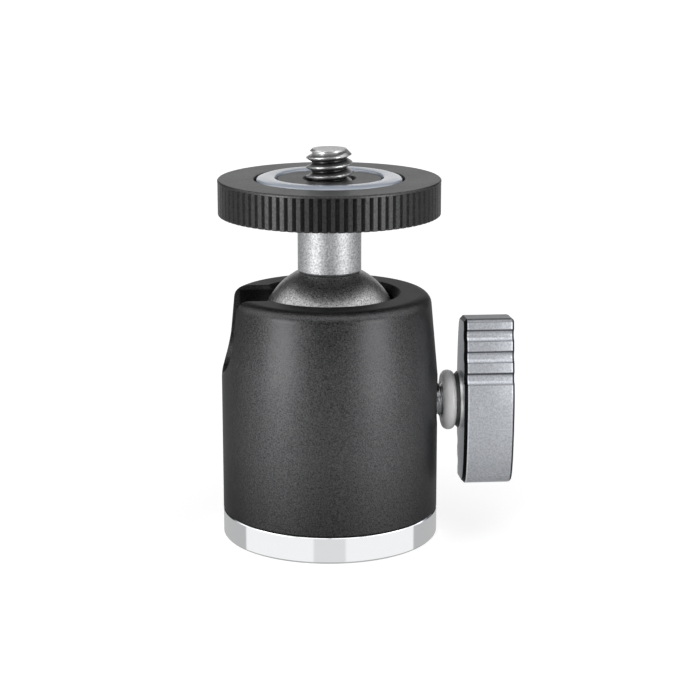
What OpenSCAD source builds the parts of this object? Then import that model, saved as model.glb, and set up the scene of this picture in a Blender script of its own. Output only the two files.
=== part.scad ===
// Small tripod ball head with a knurled camera lock wheel, a side notch for portrait tilt and a wing knob.
// The origin is the centre of the base thread at the bottom face, +Z goes up the neck,
// the clamp knob is on +X and the notch is on -X.

/* [Housing] */
// Thickness of the wall round the lifter's bore
wall_t = 5.25; // [5:0.05:6]
// Height of the straight wall under the taper
straight_h = 18.4; // [16:0.1:20]
// How far the taper draws in at the top
taper_in = 0.9; // [0.5:0.05:1.2]
// Radius of the rounded top edge
shoulder_r = 1.6; // [1:0.1:1.9]
// How far the mouth closes over the ball
mouth_grip = 0.7; // [0.5:0.05:0.9]
// Width of the bevel round the mouth
mouth_bevel = 0.95; // [0.6:0.05:1.2]
// Height of the straight land inside the mouth
mouth_land = 0.8; // [0.5:0.05:1.1]
// Width of the notch for the stem
notch_w = 10.4; // [10:0.1:11.4]
// Room under the stem when it lies in the notch
notch_room = 1.2; // [0.6:0.1:1.6]

/* [Base] */
// Height of the polished base ring
base_h = 3.85; // [3.5:0.05:4.4]
// Bevel at the foot of the base ring
base_edge = 0.25; // [0.1:0.05:0.4]
// Length of the plug inside the housing
plug_l = 5.6; // [5:0.1:6]
// Difference in radius between the plug's thread and the lifter's bore
plug_step = 0.5; // [0.4:0.05:0.8]
// Width of the ring's foot outside the plug's flange
ring_foot = 2.3; // [2:0.05:3]
// Thickness of the plug's flange
flange_t = 1.8; // [1.4:0.1:2.2]
// Depth of the plug's face above the foot of the ring
plug_recess = 0.4; // [0.2:0.05:0.6]
// Diameter of the two spanner holes
spanner_d = 1.9; // [1.5:0.1:2.3]
// Depth of the spanner holes
spanner_depth = 1.6; // [1:0.1:2.4]
// Thickness of the wall of the thread bush
bush_wall = 1.575; // [1.3:0.025:1.8]
// Length of the thread bush
bush_l = 8; // [7:0.1:8.4]
// Diameter of the tripod thread
tripod_d = 6.35; // [6.2:0.05:6.5]
// Width of the driver slot in the thread bush
driver_w = 1.2; // [0.8:0.1:1.6]

/* [Ball and neck] */
// Diameter of the ball
ball_d = 18.8; // [18.6:0.1:19.1]
// Diameter of the stem
stem_d = 8.6; // [8:0.1:9.2]
// Length of the stem above the ball
stem_l = 7.8; // [7.2:0.1:9.4]
// Diameter of the stem's spigot in the ball
spigot_d = 5.8; // [5:0.1:6.4]
// Length of the stem's spigot
spigot_l = 6; // [4:0.1:8]
// Bevel at the stem's ends
stem_edge = 0.3; // [0.1:0.05:0.5]

/* [Camera screw] */
// Diameter of the camera screw over its thread
screw_d = 6.2; // [6.1:0.05:6.3]
// Diameter of the screw's shank in the stem and the wheel
shank_d = 5.8; // [5.4:0.1:5.8]
// Height of the screw above the lock wheel
screw_proud = 4; // [3.4:0.1:5]
// Depth of the screw in the stem
screw_seat = 6.2; // [5:0.1:6.8]
// Bevel at the screw's tip
screw_tip = 0.75; // [0.3:0.05:0.9]

/* [Lock wheel] */
// Diameter of the lock wheel
wheel_d = 30; // [28:0.1:31]
// Thickness of the lock wheel
wheel_t = 4.8; // [4.2:0.1:5.6]
// Bevel round the wheel's rims
wheel_edge = 0.35; // [0.2:0.05:0.5]
// Number of flutes round the wheel
flute_count = 84; // [60:1:96]
// Depth of a flute
flute_depth = 0.32; // [0.2:0.02:0.4]
// Height of the plain lip above the flutes
flute_lip = 0.62; // [0.5:0.02:0.9]
// Bevel round the wheel's bore
wheel_bore_edge = 0.5; // [0.3:0.05:0.8]
// Outer diameter of the soft pad ring
pad_d = 20; // [19:0.1:21]
// Radial width of the soft pad ring
pad_w = 2.75; // [2.2:0.05:3.2]
// Thickness of the soft pad ring
pad_t = 1.35; // [1:0.05:1.8]
// Height of the pad ring above the wheel
pad_proud = 0.35; // [0.2:0.05:0.6]

/* [Clamp] */
// Depth of the clamp axis under the ball
clamp_drop = 0.6; // [0.4:0.05:0.8]
// Diameter of the clamp screw
clamp_d = 4.8; // [4.4:0.1:5.2]
// Gap between the housing and the soft ring at rest
clamp_gap = 0.6; // [0.4:0.05:1.2]
// Outer diameter of the soft ring
ring_d = 8.25; // [7.8:0.05:8.8]
// Thickness of the soft ring along the screw
ring_t = 1.8; // [1.7:0.05:2.2]
// Diameter of the hub's collar
collar_d = 7.9; // [7:0.1:8.4]
// Thickness of the hub's collar
collar_t = 0.87; // [0.7:0.01:1.6]
// Diameter of the hub's shank in the knob
hub_d = 6.6; // [6.2:0.1:7]
// Length of the hub's shank in the knob
hub_l = 4.5; // [4:0.1:4.8]
// Diameter of the screw bush in the housing wall
wall_bush_d = 7; // [6.6:0.1:7.6]

/* [Knob] */
// Width of the knob along the clamp axis
knob_w = 6.9; // [6.4:0.1:7.4]
// Height of the knob from tip to tip
knob_h = 23.7; // [22:0.1:25]
// Thickness of the knob at its hub
knob_t = 9.2; // [8.8:0.1:10.4]
// Bevel round the knob's two faces
knob_edge = 0.3; // [0.2:0.05:0.4]
// Number of grip grooves on each wing
grip_count = 3; // [2:1:4]
// Depth of a grip groove
grip_depth = 0.36; // [0.2:0.02:0.45]

/* [Lifter] */
// Length of the lifter under its floor
lifter_l = 6.45; // [6:0.05:7.5]
// Thickness of the lifter's rim round the cup
rim_t = 2.3; // [2.2:0.05:2.6]
// Radial width of the ball cup
cup_w = 2.15; // [1.6:0.05:3]
// Depth of the lifter's floor under the ball
floor_drop = 1.9; // [1.6:0.1:2.4]
// Height of the disc spring
spring_h = 1.1; // [0.9:0.05:1.3]
// Thickness of the disc spring's plate
spring_plate = 0.5; // [0.3:0.05:0.6]

/* [Fits] */
// Radial room of the ball in its socket
ball_fit = 0.05; // [0.03:0.01:0.08]
// Radial room of running fits
run_fit = 0.05; // [0.03:0.01:0.08]
// Room between flat faces that turn on each other
face_fit = 0.05; // [0.03:0.01:0.08]
// Radial room of the pad ring in its groove
pad_fit = 0.15; // [0.1:0.01:0.2]

/* [Hidden] */
$fn = 96;
// Length that every cut runs past the face it opens
overrun = 1;

ball_r = ball_d / 2;
socket_r = ball_r + ball_fit;
mouth_r = ball_r - mouth_grip;
// The lifter's bore is a little wider than the socket, so the ball goes in from below
bore_r = socket_r + run_fit;
thread_r = bore_r + plug_step;
body_r = bore_r + wall_t;
flange_r = body_r - ring_foot - run_fit;
bush_r = tripod_d / 2 + bush_wall;

// From the base up: the plug, the spring, the lifter, the ball and the mouth that it meets
plug_top = base_h + plug_l;
spring_top = plug_top + spring_h;
lifter_floor = spring_top + lifter_l;
ball_z = lifter_floor + floor_drop + ball_r;
top_z = ball_z + sqrt(socket_r * socket_r - mouth_r * mouth_r) + mouth_land + mouth_bevel;
taper_z = base_h + straight_h;
stem_r = stem_d / 2;
notch_r = notch_w / 2;
notch_z = ball_z - stem_r - notch_room + notch_r;

clamp_z = ball_z - ball_r - clamp_drop;
clamp_r = clamp_d / 2;
ring_x = body_r + clamp_gap;
collar_x = ring_x + ring_t + face_fit;
knob_x = collar_x + collar_t;
hub_end = knob_x + hub_l;
knob_end = knob_x + knob_w;

lifter_r = bore_r - run_fit;
// Height of the lifter's rim over the ball's lowest point, as a share of the ball's radius
lip_share = 0.36;
lifter_top = ball_z - ball_r + lip_share * ball_r;
cup_r = lifter_r - rim_t - run_fit;
cup_bore_r = cup_r - cup_w;

// The cone at the clamp screw's tip, and the lifter's pocket, which lies lower so that the cone lifts it
cone_depth_share = 0.7;
cone_l = cone_depth_share * (lifter_r - cup_r);
tip_x = lifter_r - cone_l;
cone_share = 0.84;
pocket_room = 4 * run_fit;
pocket_sink = 3 * run_fit;

flat_z = ball_z + sqrt(ball_r * ball_r - (stem_r + stem_edge / 2) * (stem_r + stem_edge / 2));
stem_z = flat_z + face_fit;
stem_top = stem_z + stem_l;
wheel_z = stem_top + face_fit;
wheel_top = wheel_z + wheel_t;
screw_r = screw_d / 2;
screw_top = wheel_top + screw_proud;
wheel_r = wheel_d / 2;
// How far the ridges of the fluted rim stay inside its lip
ridge_drop = 0.03;
pad_r = pad_d / 2;
pad_z = wheel_top + pad_proud - pad_t;

// A round bar along X, from one place to another, whose radius may change
module bar_x(from, to, r_from, r_to) {
  translate([from, 0, clamp_z]) rotate([0, 90, 0]) cylinder(h = to - from, r1 = r_from, r2 = r_to);
}

// Outline of the housing: straight wall, taper, rounded edge that is tangent to both, flat top
module housing_outline() {
  slope = atan(taper_in / (top_z - taper_z - shoulder_r));
  centre_z = top_z - shoulder_r;
  centre_r = body_r - (centre_z - taper_z) * tan(slope) - shoulder_r / cos(slope);
  polygon([[0, base_h], [body_r, base_h], [body_r, taper_z],
           [centre_r + shoulder_r * cos(slope), centre_z + shoulder_r * sin(slope)],
           [centre_r, centre_z], [centre_r, top_z], [0, top_z]]);
  translate([centre_r, centre_z]) circle(shoulder_r);
}

module housing() {
  color("#2c2c2e") difference() {
    rotate_extrude() housing_outline();
    translate([0, 0, base_h - overrun]) cylinder(h = plug_l + overrun, r = thread_r);
    cylinder(h = ball_z, r = bore_r);
    translate([0, 0, ball_z]) sphere(socket_r);
    translate([0, 0, ball_z]) cylinder(h = top_z - ball_z + overrun, r = mouth_r);
    translate([0, 0, top_z - mouth_bevel])
      cylinder(h = mouth_bevel + overrun, r1 = mouth_r, r2 = mouth_r + mouth_bevel + overrun);
    translate([-body_r - overrun, 0, 0]) rotate([90, 0, 90]) linear_extrude(body_r + overrun) {
      translate([0, notch_z]) circle(notch_r);
      translate([-notch_r, notch_z]) square([notch_w, top_z - notch_z + overrun]);
    }
    bar_x(0, body_r + overrun, wall_bush_d / 2, wall_bush_d / 2);
  }
}

// Polished ring between the housing and the plug's flange
module base_ring() {
  foot_r = body_r - ring_foot;
  color("#d8dadc") rotate_extrude()
    polygon([[foot_r, 0], [body_r - base_edge, 0], [body_r, base_edge], [body_r, base_h],
             [thread_r, base_h], [thread_r, plug_recess + flange_t], [foot_r, plug_recess + flange_t]]);
}

// Threaded plug that closes the housing from below, with a blind hole for the thread bush
module base_plug() {
  spanner_x = (flange_r + bush_r) / 2;
  color("#3a3b3d") difference() {
    union() {
      translate([0, 0, plug_recess]) cylinder(h = plug_top - plug_recess, r = thread_r);
      translate([0, 0, plug_recess]) cylinder(h = flange_t, r = flange_r);
    }
    translate([0, 0, -overrun]) cylinder(h = bush_l + overrun, r = bush_r);
    for (side = [-1, 1])
      translate([side * spanner_x, 0, plug_recess - overrun])
        cylinder(h = spanner_depth + overrun, d = spanner_d);
  }
}

// Bush with the tripod thread, driven in with a flat blade
module thread_bush() {
  color("#b8964e") difference() {
    cylinder(h = bush_l, r = bush_r);
    translate([0, 0, -overrun]) cylinder(h = bush_l + 2 * overrun, d = tripod_d);
    translate([-bush_r - overrun, -driver_w / 2, -overrun])
      cube([2 * (bush_r + overrun), driver_w, driver_w + overrun]);
  }
}

// Steel bush in the housing wall that the clamp screw turns in
module screw_bush() {
  wall_bush_r = wall_bush_d / 2;
  color("#8f9296") difference() {
    bar_x(bore_r, sqrt(body_r * body_r - wall_bush_r * wall_bush_r), wall_bush_r, wall_bush_r);
    bar_x(0, body_r + overrun, clamp_r + run_fit, clamp_r + run_fit);
  }
}

// Piston under the ball, which the clamp screw's cone pushes up
module lifter() {
  pocket_r = cone_share * clamp_r + pocket_room;
  color("#9a9da1") difference() {
    translate([0, 0, spring_top]) cylinder(h = lifter_top - spring_top, r = lifter_r);
    translate([0, 0, lifter_floor]) cylinder(h = lifter_top, r = cup_r + run_fit);
    translate([0, 0, ball_z]) sphere(socket_r);
    translate([0, 0, -pocket_sink]) {
      bar_x(tip_x - run_fit, lifter_r, pocket_r - cone_l - run_fit, pocket_r);
      bar_x(lifter_r - run_fit, lifter_r + overrun, pocket_r, pocket_r);
    }
  }
}

// Hard plastic ring that the ball rests and turns on
module ball_cup() {
  color("#e9e7df") difference() {
    translate([0, 0, lifter_floor]) cylinder(h = lifter_top - lifter_floor, r = cup_r);
    translate([0, 0, lifter_floor - overrun]) cylinder(h = lifter_top, r = cup_bore_r);
    translate([0, 0, ball_z]) sphere(socket_r);
  }
}

// Conical spring washer that keeps the lifter on the ball
module disc_spring() {
  outer = lifter_r - plug_step;
  color("#7e8083") rotate_extrude()
    polygon([[outer, plug_top], [outer, plug_top + spring_plate], [cup_bore_r, spring_top],
             [cup_bore_r, spring_top - spring_plate]]);
}

module ball() {
  color("#303032") difference() {
    translate([0, 0, ball_z]) sphere(ball_r);
    translate([-ball_r, -ball_r, flat_z]) cube([ball_d, ball_d, ball_r]);
    translate([0, 0, stem_z - spigot_l - overrun / 2]) cylinder(h = ball_d, r = spigot_d / 2 + run_fit);
  }
}

module stem() {
  color("#c6c8ca") difference() {
    rotate_extrude()
      polygon([[0, stem_z - spigot_l], [spigot_d / 2, stem_z - spigot_l], [spigot_d / 2, stem_z],
               [stem_r - stem_edge, stem_z], [stem_r, stem_z + stem_edge], [stem_r, stem_top - stem_edge],
               [stem_r - stem_edge, stem_top], [0, stem_top]]);
    translate([0, 0, stem_top - screw_seat]) cylinder(h = screw_seat + overrun, d = shank_d);
  }
}

// Stud that is fixed in the stem, passes through the wheel and takes the camera
module camera_screw() {
  shank_r = shank_d / 2;
  color("#84878a") rotate_extrude()
    polygon([[0, stem_top - screw_seat], [shank_r, stem_top - screw_seat], [shank_r, wheel_top],
             [screw_r, wheel_top], [screw_r, screw_top - screw_tip], [screw_r - screw_tip, screw_top],
             [0, screw_top]]);
}

// Corners of the fluted rim: each pitch has a flat ridge, just inside the plain lip, and a groove
// with slanted sides
function flute_corners() =
  let (pitch = 360 / flute_count, ridge_r = wheel_r - ridge_drop, floor_r = wheel_r - flute_depth,
       mouth_share = 0.22, floor_share = 0.12)
  [for (i = [0 : flute_count - 1], corner = [[ridge_r, mouth_share], [ridge_r, 1 - mouth_share],
                                             [floor_r, 1 - floor_share], [floor_r, 1 + floor_share]])
    corner[0] * [cos(pitch * (i + corner[1])), sin(pitch * (i + corner[1]))]];

// Wheel that turns up the camera screw's thread and locks the camera
module lock_wheel() {
  groove_r = pad_r + pad_fit;
  bore = screw_r + run_fit;
  foot_r = wheel_r - ridge_drop - wheel_edge;
  color("#3b3b3d") difference() {
    union() {
      intersection() {
        translate([0, 0, wheel_z]) linear_extrude(wheel_t - wheel_edge) polygon(flute_corners());
        translate([0, 0, wheel_z]) cylinder(h = wheel_t, r1 = foot_r, r2 = foot_r + wheel_t);
      }
      rotate_extrude()
        polygon([[0, wheel_top - flute_lip], [wheel_r, wheel_top - flute_lip],
                 [wheel_r, wheel_top - wheel_edge], [wheel_r - wheel_edge, wheel_top], [0, wheel_top]]);
    }
    translate([0, 0, wheel_z - overrun]) cylinder(h = wheel_t + 2 * overrun, r = bore);
    translate([0, 0, wheel_top - wheel_bore_edge])
      cylinder(h = wheel_bore_edge + overrun, r1 = bore, r2 = bore + wheel_bore_edge + overrun);
    translate([0, 0, pad_z - face_fit]) difference() {
      cylinder(h = pad_t + overrun, r = groove_r);
      translate([0, 0, -overrun]) cylinder(h = pad_t + 3 * overrun, r = groove_r - pad_w - 2 * pad_fit);
    }
  }
}

// Soft ring with a crowned top that grips the camera
module camera_pad() {
  crown_r = pad_w;
  color("#dfe6ef") rotate_extrude() intersection() {
    translate([pad_r - pad_w, pad_z]) square([pad_w, pad_t]);
    translate([pad_r - pad_w / 2, pad_z + pad_t - crown_r]) circle(crown_r);
  }
}

// Soft ring on the clamp screw, with a round outer edge
module soft_ring() {
  bore = clamp_r + run_fit;
  half = (ring_d / 2 - bore) / 2;
  color("#e6e8ea") translate([ring_x, 0, clamp_z]) rotate([0, 90, 0]) rotate_extrude() {
    translate([bore + half, half]) circle(half);
    translate([bore + half, ring_t - half]) circle(half);
    translate([bore, half]) square([2 * half, ring_t - 2 * half]);
  }
}

// Steel screw with a cone at its tip
module clamp_screw() {
  cone_r = cone_share * clamp_r;
  color("#a9acaf") {
    bar_x(tip_x, lifter_r, cone_r - cone_l, cone_r);
    bar_x(lifter_r, bore_r, cone_r, cone_r);
    bar_x(bore_r, knob_x + hub_l / 2, clamp_r, clamp_r);
  }
}

module knob_hub() {
  collar_edge = collar_t / 4;
  screw_hole = knob_x + hub_l / 2;
  color("#cfd1d3") difference() {
    union() {
      bar_x(collar_x, collar_x + collar_edge, collar_d / 2 - collar_edge, collar_d / 2);
      bar_x(collar_x + collar_edge, knob_x, collar_d / 2, collar_d / 2);
      bar_x(knob_x, hub_end, hub_d / 2, hub_d / 2);
    }
    bar_x(0, screw_hole, clamp_r, clamp_r);
    bar_x(screw_hole - overrun / 2, hub_end + overrun, clamp_r / 2, clamp_r / 2);
  }
}

// Where the straight grip face starts and ends, in shares of half the thickness and half the height
grip_top_share = [-0.576, 0.97];
grip_foot_share = [-0.917, 0.257];
// How much of the grip face the pitches would take, so that the last ridge is a little narrower
grip_span_share = 1.03;

// One side of the knob as seen along the clamp axis: a straight grip face above, then a face
// that swells past the axis and falls away to the far tip, in the same shares
function wing_shares() =
  [[-0.5, 1], grip_top_share, grip_foot_share, [-1, 0.084], [-1, -0.084], [-0.978, -0.338],
   [-0.928, -0.54], [-0.852, -0.717], [-0.717, -0.869], [-0.587, -0.932], [-0.435, -0.97]];

function wing_point(share) = [share[0] * knob_t / 2, share[1] * knob_h / 2];

// The other side is the same one turned half a turn
module knob_outline(inset) {
  side = [for (share = wing_shares()) wing_point(share)];
  offset(delta = -inset) polygon(concat(side, [for (p = side) -p]));
}

// Grip grooves: round bars along the clamp axis that dip into the straight grip face
module grip_grooves() {
  foot = wing_point(grip_foot_share);
  face_l = norm(wing_point(grip_top_share) - foot);
  grip_pitch = grip_span_share * face_l / grip_count;
  up = (wing_point(grip_top_share) - foot) / face_l;
  outward = [-up[1], up[0]];
  half = grip_pitch / 4;
  groove_r = (half * half + grip_depth * grip_depth) / (2 * grip_depth);
  for (i = [0 : grip_count - 1]) {
    spot = foot + up * (half + i * grip_pitch) + outward * (groove_r - grip_depth);
    translate([-overrun, spot[0], spot[1]]) rotate([0, 90, 0])
      cylinder(h = knob_w + 2 * overrun, r = groove_r);
  }
}

module clamp_knob() {
  shank_r = clamp_r / 2 + 2 * run_fit;
  color("#7d828b") difference() {
    translate([knob_x, 0, clamp_z]) difference() {
      hull() {
        rotate([90, 0, 90]) linear_extrude(knob_w) knob_outline(knob_edge);
        translate([knob_edge, 0, 0]) rotate([90, 0, 90])
          linear_extrude(knob_w - 2 * knob_edge) knob_outline(0);
      }
      grip_grooves();
      rotate([180, 0, 0]) grip_grooves();
    }
    bar_x(knob_x - overrun, hub_end, hub_d / 2, hub_d / 2);
    bar_x(hub_end - overrun, knob_end + overrun, shank_r, shank_r);
  }
}

// Small screw that holds the knob on its hub
module knob_screw() {
  color("#55585c") bar_x(knob_x + hub_l / 2, knob_end, clamp_r / 2, clamp_r / 2);
}

housing();
base_ring();
base_plug();
thread_bush();
screw_bush();
lifter();
ball_cup();
disc_spring();
ball();
stem();
camera_screw();
lock_wheel();
camera_pad();
soft_ring();
clamp_screw();
knob_hub();
clamp_knob();
knob_screw();
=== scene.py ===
from math import pi, radians, tan

import bmesh
import bpy
import numpy as np
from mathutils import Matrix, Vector


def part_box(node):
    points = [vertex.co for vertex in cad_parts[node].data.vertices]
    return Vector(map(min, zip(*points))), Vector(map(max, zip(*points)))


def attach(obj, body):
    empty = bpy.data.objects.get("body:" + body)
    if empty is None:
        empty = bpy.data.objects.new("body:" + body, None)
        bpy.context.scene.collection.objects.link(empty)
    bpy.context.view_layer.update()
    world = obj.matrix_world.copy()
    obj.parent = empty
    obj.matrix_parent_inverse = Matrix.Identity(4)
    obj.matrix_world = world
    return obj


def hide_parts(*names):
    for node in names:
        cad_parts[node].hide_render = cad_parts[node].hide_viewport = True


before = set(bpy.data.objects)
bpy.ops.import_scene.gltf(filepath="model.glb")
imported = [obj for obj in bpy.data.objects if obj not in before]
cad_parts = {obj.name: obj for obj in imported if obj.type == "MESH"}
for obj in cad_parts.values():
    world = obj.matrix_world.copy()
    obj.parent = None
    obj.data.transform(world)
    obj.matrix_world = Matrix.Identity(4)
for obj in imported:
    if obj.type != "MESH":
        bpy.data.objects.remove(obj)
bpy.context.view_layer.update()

mm = 0.001  # shapes below are written in millimetres and become metres when a mesh is made


# shapes: each is a grid of points

def roundedCorners(corners, steps=6, closed=True):
    # corners are (a, b, radius): each becomes an arc tangent to its two edges, no longer than half of either
    spots = np.array([c[:2] for c in corners], float)
    points = []
    for i, (spot, radius) in enumerate(zip(spots, [c[2] for c in corners])):
        atEnd = not closed and i in (0, len(spots) - 1)
        if radius <= 0 or atEnd:
            points.append(spot[None])
            continue
        toLast, toNext = spots[i - 1] - spot, spots[(i + 1) % len(spots)] - spot
        lastLength, nextLength = np.linalg.norm(toLast), np.linalg.norm(toNext)
        toLast, toNext = toLast / lastLength, toNext / nextLength
        halfOpen = np.arccos(np.clip(toLast @ toNext, -1, 1)) / 2
        reach = min(radius / tan(halfOpen), 0.49 * lastLength, 0.49 * nextLength)
        radius = reach * tan(halfOpen)
        middle = spot + (toLast + toNext) / np.linalg.norm(toLast + toNext) * np.hypot(reach, radius)
        start, end = spot + toLast * reach - middle, spot + toNext * reach - middle
        sweep = pi - 2 * halfOpen
        share = np.linspace(0, 1, steps + 1)[:, None]
        arc = start * np.sin((1 - share) * sweep) + end * np.sin(share * sweep)
        points.append(middle + arc / np.sin(sweep))
    return np.concatenate(points)


def spun(profile, columns, axis="z", centre=0.0):
    # a profile of (radius, height) points goes round the axis: x = r cos(t), y = r sin(t)
    turn = np.linspace(0, 2 * pi, columns, endpoint=False)
    radius, height = profile[:, 0, None], profile[:, 1, None]
    return placed(radius * np.cos(turn), radius * np.sin(turn), height + 0 * turn, axis, centre)


def placed(side, up, along, axis="z", centre=0.0):
    # the axis is vertical, or runs along X at the height given as centre
    return np.stack([side, up, along] if axis == "z" else [along, side, up + centre], axis=-1)


def threadRadius(turn, height, crest, depth, pitch, phase, flat=0.14):
    # the crest radius less the distance from the crest in shares of half a pitch, flat at crest and root
    share = (height / pitch - turn / (2 * pi) + phase) % 1
    return crest - depth * np.clip((abs(share - 0.5) * 2 - flat) / (1 - 2 * flat), 0, 1)


def addPiece(name, grid, body, material, nodes=(), wrapRows=True, sharpAngle=30):
    # one quad for each cell of the grid, whose columns always close; doubles at poles are merged
    rows, columns = grid.shape[:2]
    index = np.arange(rows * columns).reshape(rows, columns)
    low, high = (index, np.roll(index, -1, 0)) if wrapRows else (index[:-1], index[1:])
    quads = np.stack([low, np.roll(low, -1, 1), np.roll(high, -1, 1), high], axis=-1).reshape(-1, 4)
    mesh = bpy.data.meshes.new(name)
    mesh.from_pydata((grid.reshape(-1, 3) * mm).tolist(), [], quads.tolist())
    work = bmesh.new()
    work.from_mesh(mesh)
    bmesh.ops.remove_doubles(work, verts=work.verts, dist=1e-7)
    bmesh.ops.dissolve_degenerate(work, dist=1e-8, edges=work.edges)
    bmesh.ops.recalc_face_normals(work, faces=work.faces)
    work.to_mesh(mesh)
    work.free()
    mesh.polygons.foreach_set("use_smooth", [True] * len(mesh.polygons))
    mesh.set_sharp_from_angle(angle=radians(sharpAngle))
    mesh.materials.append(material)
    piece = bpy.data.objects.new(name, mesh)
    bpy.context.collection.objects.link(piece)
    weighted = piece.modifiers.new("evenNormals", "WEIGHTED_NORMAL")
    weighted.keep_sharp = True
    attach(piece, body)
    if nodes:
        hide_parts(*nodes)
    return piece


def pointsOf(piece):
    # the points of a piece's mesh, in millimetres
    spots = np.empty(len(piece.data.vertices) * 3, np.float32)
    piece.data.vertices.foreach_get("co", spots)
    return spots.reshape(-1, 3) / mm


def keepPaintedShadeAndGlint(piece, share):
    # painted shade and painted highlight for each point, which the material reads: 1 is painted dark as shade
    # at a groove's bottom, below 0 is a painted highlight on an edge
    values = piece.data.attributes.new("paintedShadeAndGlint", "FLOAT", "POINT").data
    values.foreach_set("value", share.astype(np.float32))


def addPaintedGrooveShade(piece, rim, depth, low, high, least=0.0, power=1.0):
    # painted shade: how far a point lies under the rim, in shares of the groove's depth, raised to a power
    spots = pointsOf(piece)
    share = (rim - np.hypot(spots[:, 0], spots[:, 1])) / depth
    slack = 0.1  # points a little above the rim or below the bottom belong to the groove too
    near = (share < 1 + slack) * (share > -slack) * (spots[:, 2] > low) * (spots[:, 2] < high)
    keepPaintedShadeAndGlint(piece, np.clip(share, least, 1) ** power * near)


def boxOf(node):
    # the lowest and the highest corner of a CAD node at rest, in millimetres
    low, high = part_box(node)
    return np.array(low) / mm, np.array(high) / mm


# materials: two shared effects, and one finish for each surface

def newGroup(name, inputs, outputs):
    group = bpy.data.node_groups.new(name, "ShaderNodeTree")
    for label, kind, value in inputs:
        socket = group.interface.new_socket(name=label, in_out="INPUT", socket_type=kind)
        if value is not None:
            socket.default_value = value
    for label, kind in outputs:
        group.interface.new_socket(name=label, in_out="OUTPUT", socket_type=kind)
    return group, group.nodes.new("NodeGroupInput"), group.nodes.new("NodeGroupOutput")


def feed(tree, socket, value):
    # a number is set on the socket itself, and another node's output is linked to it
    if isinstance(value, (int, float)):
        socket.default_value = value
    else:
        tree.links.new(value, socket)


def mathNode(tree, operation, a, b=None):
    node = tree.nodes.new("ShaderNodeMath")
    node.operation = operation
    for socket, value in zip(node.inputs, (a, b)):
        if value is not None:
            feed(tree, socket, value)
    return node.outputs[0]


def distanceNode(tree, x, y):
    # the square root of x squared plus y squared
    squares = mathNode(tree, "ADD", mathNode(tree, "MULTIPLY", x, x), mathNode(tree, "MULTIPLY", y, y))
    return mathNode(tree, "SQRT", squares)


def mapNode(tree, value, fromLow, fromHigh, toLow, toHigh, kind="LINEAR"):
    node = tree.nodes.new("ShaderNodeMapRange")
    node.interpolation_type = kind
    for label, number in (("Value", value), ("From Min", fromLow), ("From Max", fromHigh),
                          ("To Min", toLow), ("To Max", toHigh)):
        feed(tree, node.inputs[label], number)
    return node.outputs[0]


def mixNode(tree, factor, a, b):
    node = tree.nodes.new("ShaderNodeMix")
    node.data_type = "FLOAT"
    for place, value in ((0, factor), (2, a), (3, b)):
        feed(tree, node.inputs[place], value)
    return node.outputs[0]


def scaleNode(tree, color, amount):
    # a colour times a number
    node = tree.nodes.new("ShaderNodeVectorMath")
    node.operation = "SCALE"
    tree.links.new(color, node.inputs[0])
    tree.links.new(amount, node.inputs["Scale"])
    return node.outputs[0]


def placeNode(tree, source="Object"):
    # the x, y and z of a texture coordinate
    split = tree.nodes.new("ShaderNodeSeparateXYZ")
    tree.links.new(tree.nodes.new("ShaderNodeTexCoord").outputs[source], split.inputs[0])
    return split.outputs


def noiseNode(tree, vector, scale, detail=2.0, dimensions="3D"):
    node = tree.nodes.new("ShaderNodeTexNoise")
    node.noise_dimensions = dimensions
    node.inputs["Detail"].default_value = detail
    tree.links.new(vector, node.inputs["W" if dimensions == "1D" else "Vector"])
    feed(tree, node.inputs["Scale"], scale)
    return node.outputs["Fac"]


slowScale = 160  # of the slow change of gloss, in waves to a metre
edgeSamples = 8  # rays of the rounded edges


def makeGrain():
    # fine blasted grain in colour and gloss, and a slow change of gloss: both are noise about a half
    group, given, result = newGroup(
        "blastedGrain",
        [("Color", "NodeSocketColor", (0.5, 0.5, 0.5, 1)), ("Grain Scale", "NodeSocketFloat", 4200),
         ("Color Share", "NodeSocketFloat", 0.2), ("Roughness", "NodeSocketFloat", 0.4),
         ("Roughness Share", "NodeSocketFloat", 0.2), ("Grain Gloss", "NodeSocketFloat", 0.0)],
        [("Color", "NodeSocketColor"), ("Roughness", "NodeSocketFloat"), ("Height", "NodeSocketFloat")])
    place = group.nodes.new("ShaderNodeTexCoord").outputs["Object"]
    grain = noiseNode(group, place, given.outputs["Grain Scale"], 3)
    slow = noiseNode(group, place, slowScale, 3)
    swing = mathNode(group, "SUBTRACT", grain, 0.5)
    lift = mathNode(group, "MULTIPLY", swing, given.outputs["Color Share"])
    tint = scaleNode(group, given.outputs["Color"], mathNode(group, "ADD", lift, 1))
    group.links.new(tint, result.inputs["Color"])
    slowSwing = mathNode(group, "SUBTRACT", slow, 0.5)
    gloss = mathNode(group, "MULTIPLY", slowSwing, given.outputs["Roughness Share"])
    gloss = mathNode(group, "ADD", gloss, mathNode(group, "MULTIPLY", swing, given.outputs["Grain Gloss"]))
    gloss = mathNode(group, "ADD", gloss, given.outputs["Roughness"])
    group.links.new(gloss, result.inputs["Roughness"])
    group.links.new(grain, result.inputs["Height"])
    return group


def makeRings():
    # turning marks: one-dimensional noise of the distance from the axis and of the place along it
    group, given, result = newGroup(
        "turningMarks", [("Vector", "NodeSocketVector", None), ("Marks Scale", "NodeSocketFloat", 5200)],
        [("Height", "NodeSocketFloat")])
    split = group.nodes.new("ShaderNodeSeparateXYZ")
    group.links.new(given.outputs["Vector"], split.inputs[0])
    x, y, z = split.outputs
    along = mathNode(group, "ADD", distanceNode(group, x, y), z)
    marks = noiseNode(group, along, given.outputs["Marks Scale"], 4, "1D")
    group.links.new(marks, result.inputs["Height"])
    return group


grainGroup, ringsGroup = makeGrain(), makeRings()
clampHeight = sum(boxOf("clamp_screw")[i][2] for i in (0, 1)) / 2  # of the knob's axis, which runs along X


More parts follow.
